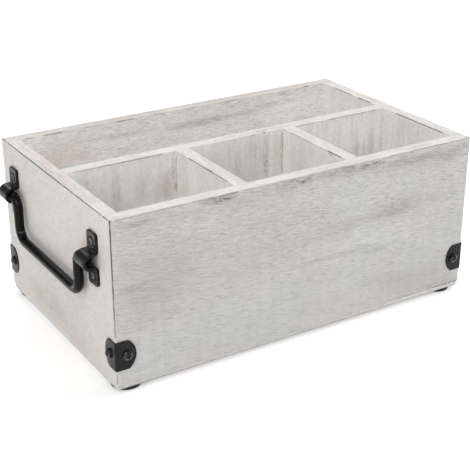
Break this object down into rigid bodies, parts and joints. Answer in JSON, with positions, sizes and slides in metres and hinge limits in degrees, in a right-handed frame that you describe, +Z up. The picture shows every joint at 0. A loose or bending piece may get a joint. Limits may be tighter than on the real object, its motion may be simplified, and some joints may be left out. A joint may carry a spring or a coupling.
{
  "type": "cutlery caddy",
  "caption": "Open-topped wooden caddy for cutlery with a long and several short compartments, steel corner brackets and a hinged bail handle on each end.",
  "frame": {"origin": "on the table, under the middle of the box", "axes": "+X along the box towards its right end, +Y towards the long rear compartment, +Z up"},
  "size_m": [0.3662, 0.2162, 0.144],
  "materials": {
    "whitewashed_wood": "whitewashed and rubbed down, matte, with fine grain showing through",
    "whitewashed_base": "whitewashed sheet, matte",
    "black_steel": "satin black paint, slightly rubbed at the edges",
    "handle_steel": "satin black paint on round rod",
    "screw_steel": "satin black, with bare steel in the driver recess",
    "foot_rubber": "matte black",
    "brad_steel": "plain"
  },
  "bodies": {
    "box": {"front_panel": "whitewashed_wood", "rear_panel": "whitewashed_wood", "left_end_panel": "whitewashed_wood", "right_end_panel": "whitewashed_wood", "long_divider": "whitewashed_wood", "left_cross_divider": "whitewashed_wood", "right_cross_divider": "whitewashed_wood", "base_board": "whitewashed_base", "foot_front_left": "foot_rubber", "foot_front_right": "foot_rubber", "foot_rear_left": "foot_rubber", "foot_rear_right": "foot_rubber", "corner_bracket_front_left": "black_steel", "corner_bracket_front_right": "black_steel", "corner_bracket_rear_left": "black_steel", "corner_bracket_rear_right": "black_steel", "handle_strap_left_front": "black_steel", "handle_strap_left_rear": "black_steel", "handle_strap_right_front": "black_steel", "handle_strap_right_rear": "black_steel", "bracket_screws": "screw_steel", "strap_screws": "screw_steel", "corner_brads": "brad_steel", "divider_brads": "brad_steel", "base_brads": "brad_steel"},
    "left_handle": {"handle_bail_left": "handle_steel"},
    "right_handle": {"handle_bail_right": "handle_steel"}
  },
  "joints": [
    {"name": "left_handle_swing", "type": "hinge", "parent": "box", "child": "left_handle", "pos_m": [-0.1762, 0.0013, 0.104], "axis": [0, 1, 0], "range_deg": [-3, 183]},
    {"name": "right_handle_swing", "type": "hinge", "parent": "box", "child": "right_handle", "pos_m": [0.1762, 0.0013, 0.104], "axis": [0, -1, 0], "range_deg": [-3, 183]}
  ]
}
